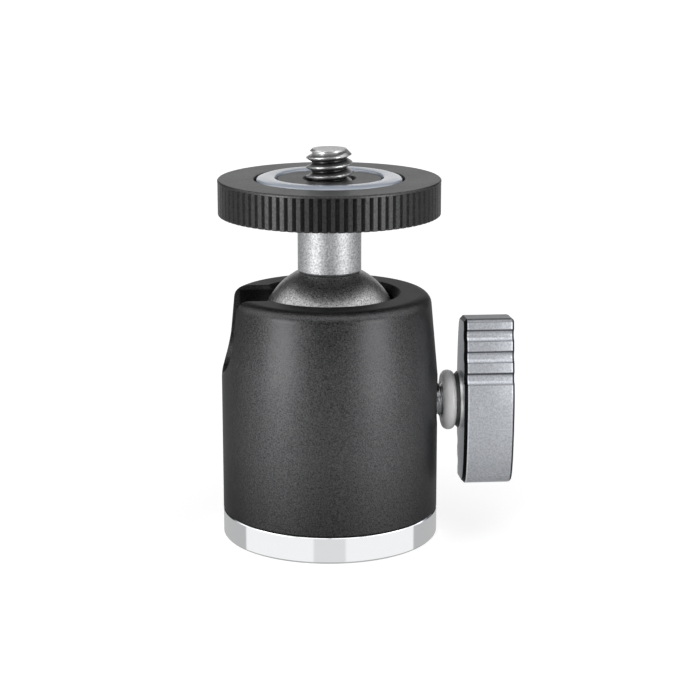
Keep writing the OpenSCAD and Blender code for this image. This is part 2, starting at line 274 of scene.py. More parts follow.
def finish(name, color, roughness, metallic=0.0, grain=4200, colorShare=0.3, roughnessShare=0.12,
           bump=0.006, marks=None, marksBump=0.002, edge=None, paintedShadeAndGlint=None, crease=None, paintedShadeBands=(),
           inside=None, extra=None, grainGloss=0.0):
    # Principled BSDF with grain in its colour, gloss and height, and turning marks, rounded edges, painted
    # shade or
    # painted highlights where asked: lengths are in millimetres, and scales in waves to a metre
    material = bpy.data.materials.new(name)
    material.use_nodes = True
    tree = material.node_tree
    shader = tree.nodes["Principled BSDF"]
    shader.inputs["Metallic"].default_value = metallic
    for label, value in (extra or {}).items():
        shader.inputs[label].default_value = value
    grainNode = tree.nodes.new("ShaderNodeGroup")
    grainNode.node_tree = grainGroup
    for label, value in (("Color", (*color, 1)), ("Grain Scale", grain), ("Color Share", colorShare),
                         ("Roughness", roughness), ("Roughness Share", roughnessShare),
                         ("Grain Gloss", grainGloss)):
        grainNode.inputs[label].default_value = value
    shade = grainNode.outputs["Color"]
    if paintedShadeAndGlint:
        # painted shade and painted highlight: the mesh's own values from -1 to 1 scale the colour from one
        # plus the strength to one less it
        depth = tree.nodes.new("ShaderNodeAttribute")
        depth.attribute_name = "paintedShadeAndGlint"
        shade = scaleNode(tree, shade, mapNode(tree, depth.outputs["Fac"], -1, 1, 1 + paintedShadeAndGlint, 1 - paintedShadeAndGlint))
    x, y, z = placeNode(tree)
    across = distanceNode(tree, x, y)
    # painted shade: the colour is scaled along the height or away from the axis: (place, from, to, share at
    # the first)
    scales = [mapNode(tree, z if place == "z" else across, start * mm, end * mm, share, 1)
              for place, start, end, share in paintedShadeBands]
    if inside:
        # painted shade on surfaces nearer the axis than the wall and below the rim: (distance, height, share
        # there, soft edge)
        wall, rim, share, soft = inside
        within = mathNode(tree, "MULTIPLY", mapNode(tree, across, (wall - soft) * mm, wall * mm, 1, 0),
                          mapNode(tree, z, (rim - soft) * mm, rim * mm, 1, 0))
        scales.append(mapNode(tree, within, 0, 1, 1, share))
    for amount in scales:
        shade = scaleNode(tree, shade, amount)
    tree.links.new(shade, shader.inputs["Base Color"])
    tree.links.new(grainNode.outputs["Roughness"], shader.inputs["Roughness"])
    normal = None
    if edge:
        rounder = tree.nodes.new("ShaderNodeBevel")
        rounder.samples = edgeSamples
        rounder.inputs["Radius"].default_value = edge * mm
        normal = rounder.outputs[0]
    heights = [(grainNode.outputs["Height"], bump)]
    if crease:
        # a shallow valley makes the taper's crease a bend: one less the distance over the reach, squared
        middle, reach, depth = crease
        off = mathNode(tree, "ABSOLUTE", mathNode(tree, "SUBTRACT", z, middle * mm))
        near = mapNode(tree, off, 0, reach * mm, 1, 0)
        heights.append((mathNode(tree, "MULTIPLY", mathNode(tree, "MULTIPLY", near, near), -1), depth))
    if marks:
        place = tree.nodes.new("ShaderNodeTexCoord")
        mapping = tree.nodes.new("ShaderNodeMapping")
        tree.links.new(place.outputs["Object"], mapping.inputs["Vector"])
        if marks == "x":
            # the marks run round the knob's axis instead of the head's
            mapping.inputs["Rotation"].default_value = (0, -pi / 2, 0)
            mapping.inputs["Location"].default_value = (clampHeight * mm, 0, 0)
        marksNode = tree.nodes.new("ShaderNodeGroup")
        marksNode.node_tree = ringsGroup
        tree.links.new(mapping.outputs[0], marksNode.inputs["Vector"])
        heights.append((marksNode.outputs["Height"], marksBump))
    for height, depth in heights:
        if not depth:
            continue
        bumpNode = tree.nodes.new("ShaderNodeBump")
        bumpNode.inputs["Distance"].default_value = depth * mm
        tree.links.new(height, bumpNode.inputs["Height"])
        if normal:
            tree.links.new(normal, bumpNode.inputs["Normal"])
        normal = bumpNode.outputs[0]
    if normal:
        tree.links.new(normal, shader.inputs["Normal"])
    return material


# the housing has painted shade towards its foot and top, in the mouth and inside, and its tint dims grazing
# gloss
bodyBlack = finish("bodyBlack", (0.10, 0.10, 0.103), 0.42, 1.0, grain=5600, colorShare=2.4, bump=0.015,
                   crease=(22.25, 8, 0.17), edge=0.15,
                   paintedShadeBands=[("z", 4, 14, 0.6), ("z", 33.5, 25, 0.72), ("across", 8.7, 10, 0.2)],
                   inside=(13.3, 33.3, 0.25, 0.3), grainGloss=0.55,
                   extra={"Specular Tint": (0.65, 0.65, 0.65, 1)})
ballBlack = finish("ballBlack", (0.37, 0.37, 0.37), 0.34, 1.0, grain=5200, colorShare=3.2, bump=0.024,
                   grainGloss=0.25)
# painted shade in the flutes from the mesh's values, and a painted darker band on the outermost rim
wheelBlack = finish("wheelBlack", (0.142, 0.142, 0.144), 0.42, 1.0, grain=4600, colorShare=1.5, bump=0.016,
                    paintedShadeAndGlint=0.75, paintedShadeBands=[("across", 14.95, 14.75, 0.58)])
plugBlack = finish("plugBlack", (0.045, 0.045, 0.048), 0.36, grain=4600, colorShare=0.4, bump=0.004,
                   marks="z", edge=0.1)
stemSilver = finish("stemSilver", (0.56, 0.57, 0.58), 0.48, 1.0, grain=4400, colorShare=1.9, bump=0.022)
ringSilver = finish("ringSilver", (0.90, 0.91, 0.92), 0.07, 1.0, grain=900, colorShare=0.02,
                    roughnessShare=0.04, bump=0, marks="z", marksBump=0.0006)
# painted shade in the thread's roots from the mesh's values
screwSteel = finish("screwSteel", (0.70, 0.70, 0.70), 0.34, 1.0, grain=3000, colorShare=0.6, bump=0.004,
                    paintedShadeAndGlint=0.9)
turnedSteel = finish("turnedSteel", (0.58, 0.59, 0.60), 0.25, 1.0, grain=3000, colorShare=0.2, bump=0.002,
                     marks="x", edge=0.08)
liftSteel = finish("liftSteel", (0.55, 0.56, 0.57), 0.28, 1.0, grain=3000, colorShare=0.2, bump=0.002,
                   marks="z", edge=0.08)
springSteel = finish("springSteel", (0.32, 0.33, 0.34), 0.32, 1.0, grain=3000, colorShare=0.3, bump=0.003,
                     edge=0.08)
brass = finish("brass", (0.72, 0.56, 0.28), 0.26, 1.0, grain=2400, colorShare=0.2, bump=0.002,
               marks="z", edge=0.08)
cupPlastic = finish("cupPlastic", (0.82, 0.81, 0.77), 0.40, grain=2000, colorShare=0.05, bump=0.003,
                    edge=0.08)
padSilicone = finish("padSilicone", (0.49, 0.54, 0.63), 0.25, grain=700, colorShare=0.10, bump=0.004,
                     extra={"Subsurface Weight": 0.35, "Subsurface Radius": (0.001, 0.0012, 0.0015),
                            "Subsurface Scale": 1.0, "Coat Weight": 1.0, "Coat Roughness": 0.08})
softWhite = finish("softWhite", (0.93, 0.93, 0.92), 0.30, grain=900, colorShare=0.06, bump=0.004,
                   extra={"Subsurface Weight": 1.0, "Subsurface Radius": (0.005, 0.005, 0.005),
                          "Subsurface Scale": 1.0})
# painted shade on the collar's front bevel from the mesh's values
hubChrome = finish("hubChrome", (0.90, 0.91, 0.92), 0.46, 1.0, grain=2000, colorShare=0.05, bump=0, marks="x",
                   marksBump=0.001, paintedShadeAndGlint=0.85)
# painted shade on the bevel, outer edge, ends and grooves, and a painted highlight on the bevel's edge, from
# the mesh's values
knobGrey = finish("knobGrey", (0.62, 0.64, 0.68), 0.46, 1.0, grain=4200, colorShare=0.9, bump=0.010,
                  paintedShadeAndGlint=0.95)
blackOxide = finish("blackOxide", (0.06, 0.06, 0.065), 0.30, 0.7, grain=3000, colorShare=0.3, bump=0.003)

for nodeName, material in (("housing", bodyBlack), ("ball", ballBlack), ("base_plug", plugBlack),
                           ("thread_bush", brass), ("screw_bush", turnedSteel), ("lifter", liftSteel),
                           ("ball_cup", cupPlastic), ("disc_spring", springSteel)):
    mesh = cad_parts[nodeName].data
    if mesh.materials:
        for i in range(len(mesh.materials)):
            mesh.materials[i] = material
    else:
        mesh.materials.append(material)
print("materials are on the housing, the ball and the inner parts")

# camera screw: a thread whose radius is a function of the turn and the height

cameraScrew = {"seat": 6.2, "shank": 2.9,  # the plain length that is set into the stem
               "crest": 3.1, "depth": 0.78, "pitch": 1.27, "tip": 0.8, "shadePower": 0.6,
               "crestHeight": 52.06, "crestTurn": radians(175.5),  # where one crest stands in the photo
               "rowsInPitch": 24, "columns": 112}


def makeCameraScrew(v):
    foot, top = boxOf("camera_screw")[0][2], boxOf("camera_screw")[1][2]
    start = foot + v["seat"]
    turn = np.linspace(0, 2 * pi, v["columns"], endpoint=False)
    height = np.linspace(start, top, int((top - start) / v["pitch"] * v["rowsInPitch"]))[:, None]
    phase = 0.5 - (v["crestHeight"] / v["pitch"] - v["crestTurn"] / (2 * pi))
    # the thread's radius, cut by a cone at the end: the crest less the tip's bevel plus the length left
    radius = threadRadius(turn, height, v["crest"], v["depth"], v["pitch"], phase)
    radius = np.minimum(radius, v["crest"] - v["tip"] + top - height)
    flatRows = np.ones((3, v["columns"]))
    radius = np.concatenate([flatRows * [[0], [v["shank"]], [v["shank"]]], radius, flatRows[:1] * 0])
    height = np.concatenate([[[foot], [foot], [start]], height, [[top]]]) + 0 * turn
    grid = placed(radius * np.cos(turn), radius * np.sin(turn), height)
    piece = addPiece("camera_thread", grid, "neck", screwSteel, ["camera_screw"],
                     wrapRows=False)
    # painted shade in the thread's roots, darker the deeper a point lies under the crest
    addPaintedGrooveShade(piece, v["crest"], v["depth"], start, top - v["tip"], power=v["shadePower"])
    return piece


makeCameraScrew(cameraScrew)

# lock wheel: a spun profile with flutes pressed into its rim

lockWheel = {"bore": 3.15, "edge": 0.15, "boreEdge": 0.5, "lip": 0.36,
             "rimGap": 0.01,  # a circle of 84 flutes reaches further along Y than the CAD's own facets
             "padOuter": 10.15, "padInner": 6.95, "padGap": 0.05,  # the groove that holds the soft ring
             "flutes": 84, "depth": 0.34, "fluteHalf": 0.28, "fluteEnd": 0.3, "ridgeDrop": 0.03,
             "fluteSteps": (0, 0.33, 0.62, 0.84, 1), "leastShade": 0.25,
             "support": 0.3,  # rows this far inside an edge keep the flat faces flat
             "rimRows": (1.2, 2.4), "overRun": 0.02}


def makeLockWheel(v):
    (_, _, foot), (rim, _, top) = boxOf("lock_wheel")
    rim -= v["rimGap"]
    padFloor = boxOf("camera_pad")[0][2] - v["padGap"]
    edge, support = v["edge"], v["support"]
    profile = roundedCorners([
        (v["bore"], foot, 0.05), (rim - edge - support, foot, 0), (rim - edge, foot, 0.12),
        (rim, foot + edge, 0.12), (rim, top - edge, 0.12), (rim - edge, top, 0.12),
        (rim - edge - support, top, 0), (v["padOuter"] + support, top, 0), (v["padOuter"], top, 0.06),
        (v["padOuter"], padFloor, 0), (v["padInner"], padFloor, 0), (v["padInner"], top, 0.06),
        (v["padInner"] - support, top, 0), (v["bore"] + v["boreEdge"] + support, top, 0),
        (v["bore"] + v["boreEdge"], top, 0.08), (v["bore"], top - v["boreEdge"], 0.08)], 4)
    # extra rows up the rim, close together where the flutes run out under the lip
    end = top - v["lip"]
    lowRows = [foot + row for row in v["rimRows"]]
    rimRows = np.concatenate([lowRows, end - v["fluteEnd"] * np.linspace(1, 0, 7), [end + v["overRun"]]])
    onRim = np.argmax(profile[:, 0] >= rim - 1e-6)
    onRim += np.argmax(profile[onRim:, 1] > (foot + top) / 2)
    profile = np.concatenate([profile[:onRim], np.stack([0 * rimRows + rim, rimRows], -1), profile[onRim:]])
    # places across one pitch, measured from the middle of a flute in shares of its half width
    pitch = 2 * pi * rim / v["flutes"]
    half = v["fluteHalf"]
    across = np.array(v["fluteSteps"])
    across = np.concatenate([across, [pitch / 2 / half], pitch / half - across[:0:-1]])
    # a flute is pressed in by one less the square of that place, and runs out in a quarter round at its end
    press = np.clip(1 - np.minimum(across, pitch / half - across) ** 2, 0, 1)
    turn = ((np.arange(v["flutes"])[:, None] * pitch + across * half) / rim).ravel()
    press = np.tile(press, v["flutes"])
    radius, height = profile[:, 0, None], profile[:, 1, None]
    gone = np.clip((height - end + v["fluteEnd"]) / v["fluteEnd"], 0, 1)
    run = np.sqrt(1 - gone ** 2)
    drop = v["ridgeDrop"] * (height < end + v["overRun"] / 2)
    fluted = np.minimum(radius, rim - drop - v["depth"] * press * run)
    radius = np.where(radius > rim - 2 * edge, fluted, radius + 0 * turn)
    grid = placed(radius * np.cos(turn), radius * np.sin(turn), height + 0 * turn)
    piece = addPiece("wheel_fluted", grid, "wheel", wheelBlack, ["lock_wheel"])
    # painted shade in the flutes, darker the deeper a point lies under the ridges
    addPaintedGrooveShade(piece, rim - v["ridgeDrop"], v["depth"], foot + edge, end, v["leastShade"])
    return piece


makeLockWheel(lockWheel)

# soft pad ring in the wheel: crowned top, rounded edges

padRing = {"width": 2.75, "inset": 0.15, "crown": 0.30, "edge": 0.6, "innerCrown": 0.14, "innerEdge": 0.35,
           "crestOut": 0.3, "crestIn": 0.5, "crestRound": 2.0}


def makePadRing(v):
    # a profile carried round the head's axis
    (_, _, foot), (outer, _, top) = boxOf("camera_pad")
    inner, outer = outer - v["width"], outer - v["inset"]
    middle = (inner + outer) / 2
    profile = roundedCorners([
        (inner, foot, 0.1), (outer, foot, 0.1), (outer, top - v["crown"], v["edge"]),
        (middle + v["crestOut"], top, v["crestRound"]), (middle - v["crestIn"], top, v["crestRound"]),
        (inner, top - v["innerCrown"], v["innerEdge"])], 8)
    return addPiece("pad_ring", spun(profile, 128), "pad", padSilicone, ["camera_pad"])


makePadRing(padRing)

# stem: a plain neck with its spigot in the ball and a bore for the screw

stemShape = {"radius": 4.3, "edge": 0.3, "spigot": 2.9, "bore": 2.9, "boreDepth": 6.2, "ballGap": 0.05}


def makeStem(v):
    # a profile carried round the head's axis, starting and ending on it
    (_, _, foot), (_, _, top) = boxOf("stem")
    start = boxOf("ball")[1][2] + v["ballGap"]
    radius, edge = v["radius"], v["edge"]
    profile = roundedCorners([
        (0, foot, 0), (v["spigot"], foot, 0.1), (v["spigot"], start, 0), (radius - edge, start, 0.06),
        (radius, start + edge, 0.08), (radius, top - edge, 0.08), (radius - edge, top, 0.06),
        (v["bore"], top, 0), (v["bore"], top - v["boreDepth"], 0), (0, top - v["boreDepth"], 0)],
        5, closed=False)
    return addPiece("stem_blasted", spun(profile, 96), "neck", stemSilver, ["stem"],
                    wrapRows=False)


makeStem(stemShape)

# base ring: polished, with bevels at its foot and its top

baseRing = {"foot": 12.45, "footEdge": 0.25, "topEdge": 0.2, "gap": 0.12, "inner": 10.0, "stepHeight": 2.2}


def makeBaseRing(v):
    # a profile carried round the head's axis
    _, (outer, _, top) = boxOf("base_ring")
    face = top - v["gap"]
    profile = roundedCorners([
        (v["foot"], 0, 0.08), (outer - v["footEdge"], 0, 0.1), (outer, v["footEdge"], 0.1),
        (outer, face - v["topEdge"], 0.03), (outer - v["topEdge"], face, 0.03),
        (v["inner"], face, 0), (v["inner"], v["stepHeight"], 0),
        (v["foot"], v["stepHeight"], 0)], 6)
    return addPiece("ring_polished", spun(profile, 160), "base", ringSilver, ["base_ring"])


makeBaseRing(baseRing)

# inner thread of the base bush: a small ridge carried along a helix

bushThread = {"major": 3.19, "minor": 2.62, "pitch": 1.27, "low": 1.5, "high": 7.6, "columns": 56,
              "section": ((0, -0.46), (1, -0.09), (1, 0.09), (0, 0.46)),  # shares of the depth and the pitch
              "fadeTurns": 0.25}  # the ridge grows over a quarter turn


def makeBushThread(v):
    # the section goes up a helix: turn and height grow evenly, and the section shrinks to nothing at the ends
    turns = (v["high"] - v["low"]) / v["pitch"]
    count = int(turns * v["columns"])
    share = np.linspace(0, 1, count)[:, None]
    fade = np.clip(np.minimum(share, 1 - share) * turns / v["fadeTurns"], 0, 1)
    section = np.array(v["section"])
    radius = v["major"] - (v["major"] - v["minor"]) * section[:, 0] * fade
    height = v["low"] + share * (v["high"] - v["low"]) + section[:, 1] * v["pitch"] * fade
    turn = share * turns * 2 * pi
    grid = placed(radius * np.cos(turn), radius * np.sin(turn), height)
    return addPiece("bush_thread", grid, "base", brass, wrapRows=False)


makeBushThread(bushThread)
print("wheel, pad, stem, ring and threads are made")

# clamp screw: its cone and a thread along X

clampScrew = {"crest": 2.4, "depth": 0.42, "pitch": 0.8, "phase": 0.2, "rowsInPitch": 18, "columns": 72,
              "neck": 2.016, "coneEnd": 9.45, "threadStart": 9.5}


def makeClampScrew(v):
    (tip, _, _), (end, _, _) = boxOf("clamp_screw")
    turn = np.linspace(0, 2 * pi, v["columns"], endpoint=False)
    rows = int((end - v["threadStart"]) / v["pitch"] * v["rowsInPitch"])
    along = np.linspace(v["threadStart"], end, rows)[:, None]
    radius = threadRadius(turn, along, v["crest"], v["depth"], v["pitch"], v["phase"])
    # the cone's radius grows as fast as its length
    tipRadius = v["neck"] - (v["coneEnd"] - tip)
    plain = np.ones((4, v["columns"])) * [[0], [tipRadius], [v["neck"]], [v["neck"]]]
    radius = np.concatenate([plain, radius, plain[:1]])
    cone = [[tip], [tip], [v["coneEnd"]], [v["threadStart"]]]
    along = np.concatenate([cone, along, [[end]]]) + 0 * turn
    grid = placed(radius * np.cos(turn), radius * np.sin(turn), along, "x", clampHeight)
    return addPiece("clamp_thread", grid, "clamp", turnedSteel, ["clamp_screw"], wrapRows=False)


makeClampScrew(clampScrew)

# hub: a bright collar with painted shade on its front bevel

knobHub = {"bore": 2.42, "boreLength": 2.25, "collar": 3.95, "collarLength": 0.87, "collarEdge": 0.42,
           "shank": 3.3, "screwHole": 1.2, "shadeGap": 0.02}


def makeKnobHub(v):
    # a profile carried round the knob's axis
    start, end = boxOf("knob_hub")[0][0], boxOf("knob_hub")[1][0]
    back = start + v["collarLength"]
    profile = roundedCorners([
        (v["bore"], start, 0.05), (v["collar"] - v["collarEdge"], start, 0.08),
        (v["collar"], start + v["collarEdge"], 0.08), (v["collar"], back, 0.04), (v["shank"], back, 0),
        (v["shank"], end, 0.1), (v["screwHole"], end, 0), (v["screwHole"], back + v["boreLength"], 0),
        (v["bore"], back + v["boreLength"], 0)], 5)
    grid = spun(profile, 96, "x", clampHeight)
    piece = addPiece("hub_turned", grid, "clamp", hubChrome, ["knob_hub"])
    # the front bevel gets painted shade
    keepPaintedShadeAndGlint(piece, pointsOf(piece)[:, 0] < start + v["collarEdge"] - v["shadeGap"])
    return piece


makeKnobHub(knobHub)

# soft ring: a fat washer with rounded edges

softRing = {"bore": 2.45, "innerEdge": 0.35, "outerEdge": 0.85}


def makeSoftRing(v):
    # a profile carried round the knob's axis
    (start, _, low), (end, _, high) = boxOf("soft_ring")
    outer = (high - low) / 2
    profile = roundedCorners([
        (v["bore"], start, v["innerEdge"]), (outer, start, v["outerEdge"]), (outer, end, v["outerEdge"]),
        (v["bore"], end, v["innerEdge"])], 8)
    grid = spun(profile, 96, "x", clampHeight)
    return addPiece("ring_soft", grid, "clamp_ring", softWhite, ["soft_ring"])


makeSoftRing(softRing)

# knob: an outline in the YZ plane carried along X, with grooves pressed into its grip faces

wingKnob = {
    "halfThickness": 4.6, "halfHeight": 11.85, "hubBore": 3.3, "hubDepth": 4.5, "hubMargin": 0.2,
    "screwHole": 1.3,
    "grooves": 3, "grooveDepth": 0.42, "gripSpan": 1.03, "grooveShare": 0.55,
    "innerBevel": 0.42, "outerRound": 0.5, "columns": 760,
    # rows: a hair behind the inner face, close behind the bevel, and on the faces beside their edges
    "faceGap": 0.01, "edgeRows": (0.05, 0.13, 0.25), "faceRow": 0.12,
    # the loop inside the grooves: how far it lies in, the width over which that grows, and its height
    "loopInset": 1.1, "loopWidth": 2.3, "loopHeight": 0.92,
    # painted shade, where 1 is painted dark and below 0 is a painted highlight, and the shares or lengths
    # over which they hold
    "wallShade": 0.75, "wallStart": 0.7, "stepShade": 0.45, "stepReach": 0.06,
    "edgeShade": 1.0, "edgeStart": 0.55, "endShade": 0.5, "endReach": 0.45, "edgeGlint": -0.5,
    # corners of one side in shares of the half sizes, with the rounding of each
    "side": [(-0.5, 1, 0.6), (-0.576, 0.97, 0.6), (-0.917, 0.257, 4), (-1, 0.084, 20), (-1, -0.084, 20),
             (-0.978, -0.338, 30), (-0.928, -0.54, 30), (-0.852, -0.717, 20), (-0.717, -0.869, 10),
             (-0.587, -0.932, 6), (-0.435, -0.97, 2.5)]}


def makeKnob(v):
    start, end = boxOf("clamp_knob")[0][0], boxOf("clamp_knob")[1][0]
    size = np.array([v["halfThickness"], v["halfHeight"]])
    side = [(a * size[0], b * size[1], r) for a, b, r in v["side"]]
    loop = roundedCorners(side + [(-a, -b, r) for a, b, r in side], 8)
    # evenly spaced places round the loop and the outward normals there
    step = np.linalg.norm(np.roll(loop, -1, 0) - loop, axis=1)
    gone = np.concatenate([[0], np.cumsum(step)])
    at = np.linspace(0, gone[-1], v["columns"], endpoint=False)
    closed = np.concatenate([loop, loop[:1]])
    spot = np.stack([np.interp(at, gone, closed[:, i]) for i in (0, 1)], -1)
    tangent = np.roll(spot, -2, 0) - np.roll(spot, 2, 0)
    outward = np.stack([tangent[:, 1], -tangent[:, 0]], -1) / np.linalg.norm(tangent, axis=1)[:, None]
    # grooves are arcs across the straight grip face, on both sides of the axis
    foot, top = np.array(side[2][:2]), np.array(side[1][:2])
    length = np.linalg.norm(top - foot)
    pitch = v["gripSpan"] * length / v["grooves"]
    half = pitch * v["grooveShare"] / 2
    arc = (half ** 2 + v["grooveDepth"] ** 2) / (2 * v["grooveDepth"])

    def grooveAt(place):
        # depth of the groove at a place of the loop, and how dark its upper wall and its lower step are
        # painted as shade
        depth, shade = np.zeros(len(place)), np.zeros(len(place))
        for sign in (1, -1):
            height = (sign * place - foot) @ (top - foot) / length
            offset = (height % pitch) - half
            step = np.minimum(height % pitch, pitch - height % pitch)
            onFace = (height < v["grooves"] * pitch) & (sign * place[:, 0] < 0)
            inside = onFace & (abs(offset) < half) & (height > 0)
            depth += inside * (np.sqrt(np.clip(arc ** 2 - offset ** 2, 0, None)) - (arc - v["grooveDepth"]))
            shade += inside * (offset > v["wallStart"] * half) * v["wallShade"]
            shade += onFace * (height > -v["stepReach"]) * (step < v["stepReach"]) * v["stepShade"]
        return depth, shade

    press = grooveAt(spot)[0]
    # rows of (place along X, way in from the outline): bevel, side and rounded outer edge
    bevel, rounding = v["innerBevel"], v["outerRound"]
    rows = [(start, bevel + v["faceRow"]), (start + v["faceGap"], bevel), (start + bevel, 0)]
    rows += [(start + bevel + row, 0) for row in v["edgeRows"]] + [((start + end) / 2, 0)]
    rows += [(end - rounding + rounding * np.sin(a), rounding - rounding * np.cos(a))
             for a in np.linspace(0, pi / 2, 7)]
    rows += [(end, rounding + v["faceRow"])]
    angle = np.arctan2(spot[:, 1], spot[:, 0])
    circle = np.stack([np.cos(angle), np.sin(angle)], -1)
    bore, hole = circle * v["hubBore"], circle * v["screwHole"]
    # a plain loop inside the grooves keeps the flat faces free of folds
    inset = v["loopInset"] * np.clip(spot[:, 0] / v["loopWidth"], -1, 1)
    plain = np.stack([spot[:, 0] - inset, spot[:, 1] * v["loopHeight"]], -1)
    # from the screw hole through the hub's bore and over the outside to the screw hole's other end
    bottom = start + v["hubDepth"]
    loops = [spot - outward * (inward + press)[:, None] for _, inward in rows]
    across = np.array([hole, bore, bore, plain] + loops + [plain, bore, hole])
    along = np.array([bottom, bottom, start, start] + [x for x, _ in rows] + [end, end, end])
    along = along[:, None] + np.zeros(v["columns"])
    grid = placed(across[..., 0], across[..., 1], along, "x", clampHeight)
    piece = addPiece("knob_wing", grid, "clamp", knobGrey, ["clamp_knob"])
    # painted shade: the bevel and the outer edge are painted dark, the two ends and the grooves less so, and
    # a painted highlight glints along the bevel's edge
    spots = pointsOf(piece)
    along, place = spots[:, 0], spots[:, 1:] - [0, clampHeight]
    front, back = start + bevel, end - v["faceGap"] / 10
    onEdge = np.hypot(place[:, 0], place[:, 1]) > v["hubBore"] + v["hubMargin"]
    onBevel = (along < front + v["faceGap"]) * (along > start + v["faceGap"] / 2)
    onRounding = (along > end - v["edgeStart"] * rounding) * (along < back)
    share = np.maximum(onBevel * 1.0, onRounding * v["edgeShade"]) * onEdge
    share = np.maximum(share, v["endShade"] * (abs(place[:, 1]) > v["halfHeight"] - v["endReach"]))
    onSide = (along > front + v["faceGap"]) * (along < back)
    share = np.maximum(share, grooveAt(place)[1] * onSide)
    glintFrom, glintTo = front + v["edgeRows"][0] / 2, front + sum(v["edgeRows"][1:]) / 2
    share += v["edgeGlint"] * (share == 0) * (along > glintFrom) * (along < glintTo) * onEdge
    keepPaintedShadeAndGlint(piece, share)
    return piece


makeKnob(wingKnob)

# screw of the knob, with a hexagon socket

knobScrew = {"radius": 1.2, "edge": 0.15, "sink": 0.02, "columns": 72,
             "socketFlat": 0.62, "socketEdge": 0.05, "socketDepth": 1.1, "socketCone": 0.3}


def makeKnobScrew(v):
    # the socket's radius: half its width across flats over the cosine of the turn inside each sixth
    start, end = boxOf("knob_screw")[0][0], boxOf("knob_screw")[1][0]
    head, bottom = end - v["sink"], end - v["socketDepth"]
    turn = np.linspace(0, 2 * pi, v["columns"], endpoint=False)
    hexagon = v["socketFlat"] / np.cos((turn + pi / 6) % (pi / 3) - pi / 6)
    rows = [(0, start), (v["radius"], start), (v["radius"], head - v["edge"]),
            (v["radius"] - v["edge"], head), (hexagon + v["socketEdge"], head),
            (hexagon, head - v["socketEdge"]), (hexagon, bottom), (0, bottom - v["socketCone"])]
    radius = np.array([r + 0 * turn for r, _ in rows])
    along = np.array([x + 0 * turn for _, x in rows])
    grid = placed(radius * np.cos(turn), radius * np.sin(turn), along, "x", clampHeight)
    return addPiece("screw_socket", grid, "clamp", blackOxide, ["knob_screw"], wrapRows=False)


makeKnobScrew(knobScrew)
print("clamp screw, hub, ring and knob are made")

# floor, light and camera

studio = {
    "floorSize": 6.0, "floorSink": 0.00002, "floorGrey": 0.80,
    "glowNear": 0.52, "glowFar": 0.70, "glowReach": (0.05, 0.5),  # metres from the axis
    "worldLight": 0.60,
    # what gloss sees by the turn from the front in degrees and by the sine of the lift: first the table, in
    # front, at the sides, behind the object and far behind it
    "tableFront": 0.77, "tableSides": 0.97, "tableBehind": 0.50, "tableBack": 0.95,
    "sectorEdges": (17, 102, 150), "sectorSoft": 0.02, "backSoft": 0.1,
    # the table near the object is dimmer, and so is a gap below the horizon, except far behind
    "tableLow": 0.5, "lowBand": (-0.44, -0.38), "tableGap": 0.22, "gapBand": (-0.16, -0.11),
    "backBand": (-0.2, -0.14), "horizon": (-0.02, 0.04),
    # the wall goes from dark in front to pale behind, with a dark corner: in from, to, out from, to, level
    "wallFront": 0.06, "wallBack": 0.75, "wallTurn": (60, 110), "darkCorner": (113, 123, 154, 166, 0.03),
    "skyTop": 0.03, "skyBand": (0.35, 0.65),
    # bright windows above the horizon: turn from, turn to, sine of the lift from, to, strength
    "windows": [(0, 50, 0.62, 1.2, 1.45), (60, 126, 0.30, 0.80, 1.05), (46, 104, 0.64, 0.90, 1.5)],
    "windowSoft": (0.1, 0.06),
    # softboxes: turn from the front, lift, distance, width, height, power
    "boxes": {"leftBox": (-50, 6, 0.20, 0.10, 0.085, 0.16), "rightBox": (50, 6, 0.20, 0.10, 0.085, 0.128)},
    "aimHeight": 0.03}
frontTurn = radians(-4.5)  # the side of the object that the photo shows lies this far round from -Y


def turnFromFront(tree, x, y):
    # angle between a level direction and the front: the arc cosine of their product over the length
    along = mathNode(tree, "ADD", mathNode(tree, "MULTIPLY", x, float(np.sin(frontTurn))),
                     mathNode(tree, "MULTIPLY", y, float(-np.cos(frontTurn))))
    return mathNode(tree, "ARCCOSINE", mathNode(tree, "DIVIDE", along, distanceNode(tree, x, y)))


def windowNode(tree, value, low, high, soft):
    # one between low and high, and nothing outside, with a soft edge on both sides
    return mathNode(tree, "MULTIPLY", mapNode(tree, value, low - soft, low + soft, 0, 1),
                    mapNode(tree, value, high - soft, high + soft, 1, 0))


def makeFloor(v):
    corners = np.array([[-1, -1, 0], [1, -1, 0], [1, 1, 0], [-1, 1, 0]]) * v["floorSize"] / 2
    mesh = bpy.data.meshes.new("floor")
    mesh.from_pydata((corners - [0, 0, v["floorSink"]]).tolist(), [], [(0, 1, 2, 3)])
    floor = bpy.data.objects.new("floor", mesh)
    bpy.context.collection.objects.link(floor)
    material = bpy.data.materials.new("paleFloor")
    material.use_nodes = True
    material.cycles.emission_sampling = "NONE"
    tree = material.node_tree
    shader = tree.nodes["Principled BSDF"]
    shader.inputs["Base Color"].default_value = (v["floorGrey"],) * 3 + (1,)
    shader.inputs["Roughness"].default_value = 0.9
    shader.inputs["Specular IOR Level"].default_value = 0.1
    shader.inputs["Emission Color"].default_value = (1, 1, 1, 1)
    x, y, _ = placeNode(tree)
    # a glow lifts the open floor to white for the camera and leaves the shadow
    glow = mapNode(tree, distanceNode(tree, x, y), *v["glowReach"], v["glowNear"], v["glowFar"])
    path = tree.nodes.new("ShaderNodeLightPath")
    glow = mathNode(tree, "MULTIPLY", path.outputs["Is Camera Ray"], glow)
    tree.links.new(glow, shader.inputs["Emission Strength"])
    mesh.materials.append(material)
    floor.visible_glossy = False  # gloss sees the table in the world instead


